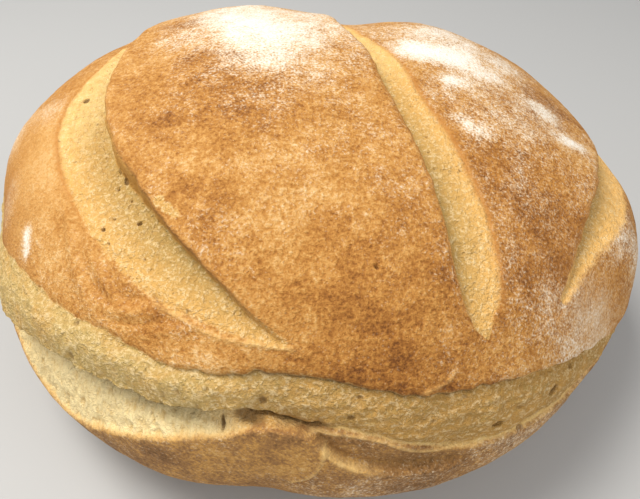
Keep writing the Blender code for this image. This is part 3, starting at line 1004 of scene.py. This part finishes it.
def crust_finish():
    """Browned and floured crust, the crumb where it is torn, and shade painted into its hollows, cracks
    and pores.
    """
    make = Finish("boule_crust")
    grain = make.mark("grain", "Vector")
    broad = make.noise(0.028, 2.0, 0.5)
    patchy = make.noise(0.009, 3.0, 0.6)
    clouds = make.noise(0.013, 4.0, 0.6, make.stretched(make.place, (1.0, 0.8, 1.3)))
    mottle = make.noise(0.0030, 3.0, 0.65)
    fine = make.noise(0.0012, 2.0, 0.7)
    powder = make.noise(0.0008, 2.0, 0.6)

    tone = make.plus(make.mark("tone"), TONE_MIDDLE)
    rough = make.minus(1.0, make.mark("smooth"))
    for pattern, strength in zip((broad, patchy, mottle, fine), TONE_SWINGS):
        tone = make.plus(tone, make.times(make.swing(pattern, strength), rough))
    crust = make.ramp(tone, CRUST_TONES)
    crust = make.mix(make.mark("foot"), crust, make.ramp(tone, UNDER_TONES_OF_CRUST))
    dust = make.mark("flour")
    for pattern, strength in zip((clouds, mottle, powder), FLOUR_SWINGS):
        dust = make.plus(dust, make.times(make.swing(pattern, strength), rough))
    crust = make.mix(make.times(make.span(dust, 0.05, 0.7), 0.75), crust, FLOUR_DUST)
    crust = make.mix(make.times(make.span(dust, 0.35, 1.05), 0.95), crust, FLOUR_WHITE)
    salt = make.times(make.spots(0.0012, 0.05, 0.33), make.span(patchy, 0.35, 0.65))
    crust = make.mix(make.times(salt, 0.2), crust, FLOUR_DUST)

    crumb_tone = make.plus(make.swing(patchy, 0.9), make.swing(mottle, 1.5))
    crumb_tone = make.plus(crumb_tone, make.swing(fine, 1.9))
    # Crumb darker and browner towards each slash's near end
    darkening = make.plus(crumb_tone, make.times(make.mark("near_end"), 1.7))
    darkening = make.times(make.span(darkening, -0.3, 0.8), 0.85)
    crumb = make.mix(darkening, YELLOW_CRUMB, TOASTED_CRUMB)
    crumb = make.mix(make.times(make.mark("toast"), 0.8), crumb, GOLDEN_CRUMB)
    flecks = make.plus(make.swing(mottle, 1.2), make.swing(powder, 1.6))
    flecks = make.times(make.span(flecks, -0.05, -0.5), 0.6)
    crumb = make.mix(flecks, crumb, PALE_FLECKS)
    # Painted shade: olive where the slash floors lie deep and in the crease at the band's foot
    crumb = make.mix(make.times(make.mark("deep"), 0.7), crumb, OLIVE_SHADE_AND_STREAKS)
    sideways = make.add("ShaderNodeSeparateXYZ", [("Vector", make.place)]).outputs["X"]
    band = make.mix(make.span(sideways, BAND_SHADE_START, BAND_SHADE_END), BAND_CRUMB, SHADED_CRUMB)
    streaks = make.noise(0.0016, 3.0, 0.65, make.stretched(grain, (0.55, 1.0, 1.0)))
    stains = make.noise(0.008, 2.0, 0.5, make.stretched(grain, (0.45, 1.0, 1.0)))
    band = make.mix(make.times(make.span(streaks, 0.45, 0.7), 0.5), band, OLIVE_SHADE_AND_STREAKS)
    band = make.mix(make.times(make.span(stains, 0.45, 0.65), 0.45), band, TOASTED_CRUMB)
    band = make.mix(make.times(make.span(streaks, 0.48, 0.32), 0.45), band, PALE_FLECKS)
    # Painted shade on the underside of the band's roll
    band = make.mix(make.times(make.mark("shade_under_roll"), 0.6), band, OLIVE_SHADE_AND_STREAKS)
    crumb = make.mix(make.mark("band"), crumb, band)
    opening = make.mark("opening")
    hairs = make.noise(0.0013, 3.0, 0.6, make.stretched(grain, (1.0, 0.4, 1.0)))
    tufts = make.plus(make.swing(make.mark("fleece"), 0.5), make.swing(hairs, 2.0))
    tufts = make.plus(tufts, make.swing(mottle, 1.5))
    # Tan where the fibres and tufts lie low: partly random tone, partly painted shade in their hollows
    pale = make.mix(make.span(tufts, 0.0, -1.1), PALE_CRUMB, TAN_TONE_AND_FIBRE_SHADE)
    # Painted shade in the top of the pale opening, under the band's overhang
    pale = make.mix(make.times(make.mark("shade"), 0.62), pale, SHADE_UNDER_BAND)
    crumb = make.mix(opening, crumb, pale)
    closed = make.minus(1.0, make.times(opening, 0.7))
    pit = make.span(make.mark("pit"), 0.1, 0.9)
    foam = make.times(make.spots(0.0026, 0.1, 0.55), closed)
    bubbles = make.times(make.minus(1.0, foam), make.span(fine, 0.5, 0.62))
    foamy = make.plus(make.times(make.mark("near_end"), 0.18), 0.27)
    bubbles = make.times(bubbles, foamy)
    crumb = make.mix(bubbles, crumb, PALE_FLECKS)
    crumb = make.mix(make.times(foam, 0.22), crumb, TOASTED_CRUMB)
    # Painted shade in the pores and holes
    crumb = make.mix(make.times(pit, 0.6), crumb, HOLLOW_SHADE)
    crumb = make.mix(make.times(make.mark("cliff"), 0.8), crumb, LEDGE_BROWN)

    edge = make.plus(make.mark("torn"), make.swing(mottle, 1.4))
    edge = make.plus(edge, make.swing(fine, 0.9))
    torn = make.span(edge, -0.5, 0.5)
    surface = make.mix(torn, crust, crumb)
    # Painted shade in the hollow pocket beside the front lip's edge
    surface = make.mix(make.times(make.mark("pocket"), 0.45), surface, HOLLOW_SHADE)
    surface = make.mix(make.times(make.mark("scorch"), 0.85), surface, SCORCHED)
    patchy_rim = make.plus(make.times(make.span(mottle, 0.35, 0.6), 0.5), 0.35)
    surface = make.mix(make.times(make.mark("rim"), patchy_rim), surface, RIM_ORANGE)
    # Painted shade in the cracks
    surface = make.mix(make.times(make.mark("crack"), 0.75), surface, CREVICE_SHADE)
    # More painted shade in the pores and holes
    surface = make.mix(make.times(pit, 0.5), surface, CREVICE_SHADE)
    make.put(make.shader.inputs["Base Color"], surface)
    make.put(make.shader.inputs["Roughness"], 0.8)
    make.put(make.shader.inputs["Specular IOR Level"], 0.25)

    relief = make.plus(make.swing(fine, 1.3), make.swing(mottle, 0.8))
    relief = make.plus(relief, make.swing(powder, 0.8))
    relief = make.times(relief, make.plus(make.times(torn, 0.7), 1.0))
    hollow = make.plus(pit, make.times(foam, 0.5))
    hollow = make.plus(hollow, make.times(make.swing(hairs, -3.0), opening))
    hollow = make.plus(hollow, make.times(make.swing(streaks, 1.2), make.mark("band")))
    relief = make.minus(relief, make.times(hollow, torn))
    links = [("Height", relief), ("Strength", 1.0), ("Distance", BUMP_DEPTH)]
    bump = make.add("ShaderNodeBump", links)
    make.put(make.shader.inputs["Normal"], bump.outputs["Normal"])
    return make.material


def floor_finish():
    make = Finish("studio_floor")
    make.put(make.shader.inputs["Base Color"], FLOOR_GREY)
    make.put(make.shader.inputs["Roughness"], 0.7)
    return make.material


def add_floor():
    """Plain pale floor under the loaf."""
    sheet = bmesh.new()
    bmesh.ops.create_grid(sheet, x_segments=1, y_segments=1, size=FLOOR_HALF_WIDTH)
    mesh = bpy.data.meshes.new("floor")
    sheet.to_mesh(mesh)
    sheet.free()
    floor = bpy.data.objects.new("floor", mesh)
    mesh.materials.append(floor_finish())
    bpy.context.scene.collection.objects.link(floor)


def add_light(name, place, size, power, tint):
    """Soft square light at a place, turned to the loaf's middle."""
    lamp = bpy.data.lights.new(name, "AREA")
    lamp.size = size
    lamp.energy = power
    lamp.color = tint
    item = bpy.data.objects.new(name, lamp)
    item.location = place
    toward = np.array(LIGHT_AIM) - np.array(place)
    pitch = math.atan2(math.hypot(toward[0], toward[1]), -toward[2])
    item.rotation_euler = (pitch, 0.0, math.atan2(-toward[0], toward[1]))
    bpy.context.scene.collection.objects.link(item)


def add_studio():
    world = bpy.data.worlds.new("studio")
    world.use_nodes = True
    sky = world.node_tree.nodes["Background"]
    sky.inputs["Color"].default_value = SKY_TINT
    sky.inputs["Strength"].default_value = SKY_STRENGTH
    bpy.context.scene.world = world
    for light in LIGHTS:
        add_light(*light)
    add_floor()


def add_camera():
    lens = bpy.data.cameras.new("photo_camera")
    lens.sensor_width = SENSOR_WIDTH
    lens.lens = FOCAL_PIXELS / PHOTO_SIZE[0] * SENSOR_WIDTH
    lens.clip_start = 0.01
    camera = bpy.data.objects.new("photo_camera", lens)
    camera.location = CAMERA_PLACE
    camera.rotation_euler = (math.pi / 2 - LOOK_DOWN, 0.0, 0.0)
    bpy.context.scene.collection.objects.link(camera)
    bpy.context.scene.camera = camera


bpy.context.scene.view_settings.view_transform = "Standard"
add_camera()
add_studio()
loaf = make_loaf()
loaf.data.materials.clear()
loaf.data.materials.append(crust_finish())
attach(loaf, "root")
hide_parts("boule")
